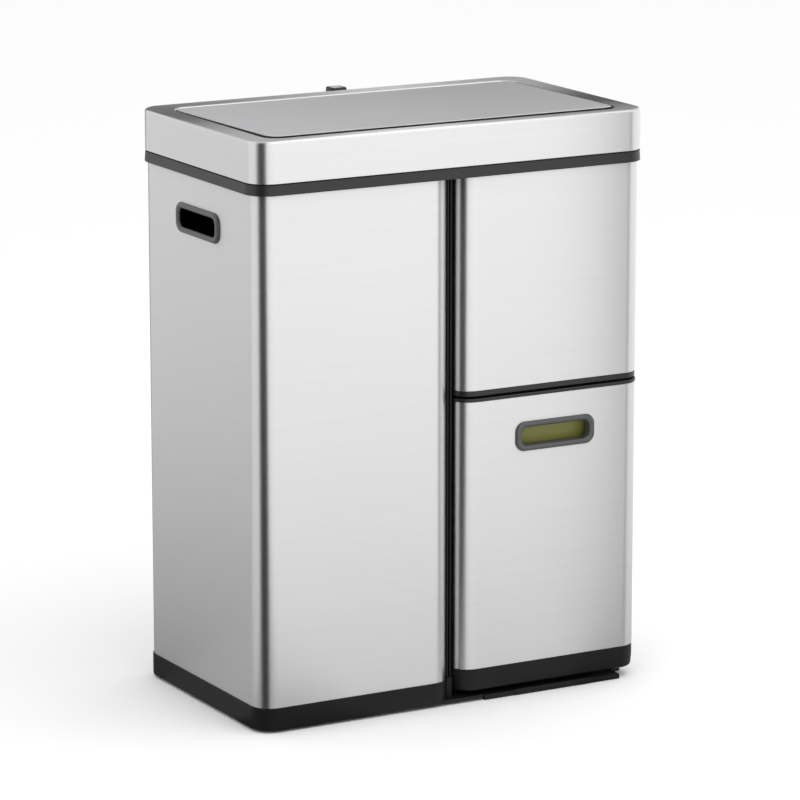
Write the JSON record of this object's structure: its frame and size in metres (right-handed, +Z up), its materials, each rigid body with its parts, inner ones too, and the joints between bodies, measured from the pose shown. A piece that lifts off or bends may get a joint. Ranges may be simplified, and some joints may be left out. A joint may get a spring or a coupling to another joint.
{
  "type": "recycling bin",
  "caption": "Upright steel recycling bin with a tall left compartment, a smaller upper right one, a pull-out lower right drawer and a touch-opening inset lid.",
  "frame": {"origin": "middle of the overall footprint, on the floor", "axes": "+Z up, the front faces -Y, +X to the viewer's right when facing the front"},
  "size_m": [0.599, 0.373, 0.797],
  "materials": {
    "brushed_steel": "brushed along the width, satin",
    "black_plastic": "fine grained",
    "grey_plastic": "satin",
    "bucket_plastic": "fine grained",
    "olive_plastic": "satin",
    "rubber": "matte",
    "plain_steel": "bright zinc"
  },
  "bodies": {
    "cabinet": {"base": "black_plastic", "carry_handle_left": "grey_plastic", "carry_handle_right": "grey_plastic", "center_divider": "black_plastic", "drawer_magnet": "plain_steel", "foot_back_left": "rubber", "foot_back_middle": "rubber", "foot_back_right": "rubber", "foot_front_left": "rubber", "foot_front_middle": "rubber", "foot_front_right": "rubber", "head_collar": "black_plastic", "head_liner": "black_plastic", "head_rim": "brushed_steel", "hinge_bracket_left": "grey_plastic", "hinge_bracket_right": "grey_plastic", "latch_housing": "grey_plastic", "left_bag_ring": "grey_plastic", "left_bucket": "bucket_plastic", "left_shell": "brushed_steel", "lid_damper": "grey_plastic", "panel_strip_left": "plain_steel", "panel_strip_right": "plain_steel", "rear_panel": "black_plastic", "rear_screw_1": "plain_steel", "rear_screw_2": "plain_steel", "rear_screw_3": "plain_steel", "rear_screw_4": "plain_steel", "release_guide": "black_plastic", "top_frame": "black_plastic", "upper_right_bag_ring": "grey_plastic", "upper_right_bucket": "bucket_plastic", "upper_right_floor": "black_plastic", "upper_right_shell": "brushed_steel"},
    "lid": {"lid_panel": "brushed_steel", "lid_frame": "black_plastic", "lid_inner_cover": "grey_plastic", "latch_striker": "plain_steel", "hinge_pin_left": "plain_steel", "hinge_pin_right": "plain_steel", "lift_spring": "plain_steel"},
    "drawer": {"drawer_base": "black_plastic", "drawer_bucket": "olive_plastic", "drawer_handle": "grey_plastic", "drawer_rim": "black_plastic", "drawer_shell": "brushed_steel", "drawer_tray": "black_plastic", "tray_screw_1": "plain_steel", "tray_screw_2": "plain_steel", "tray_screw_3": "plain_steel", "tray_screw_4": "plain_steel"},
    "latch_plunger": {"latch_plunger": "grey_plastic"},
    "release_button": {"release_button": "black_plastic"}
  },
  "joints": [
    {"name": "lid_hinge", "type": "hinge", "parent": "cabinet", "child": "lid", "pos_m": [0, 0.11, 0.7865], "axis": [-1, 0, 0], "range_deg": [0, 80]},
    {"name": "drawer_slide", "type": "slide", "parent": "cabinet", "child": "drawer", "axis": [0, -1, 0], "range_m": [0, 0.3]},
    {"name": "latch_press", "type": "slide", "parent": "cabinet", "child": "latch_plunger", "axis": [0, 0, -1], "range_m": [0, 0.003], "stiffness_N_per_m": 300},
    {"name": "release_press", "type": "slide", "parent": "cabinet", "child": "release_button", "axis": [0, 0, -1], "range_m": [0, 0.004], "stiffness_N_per_m": 600}
  ]
}
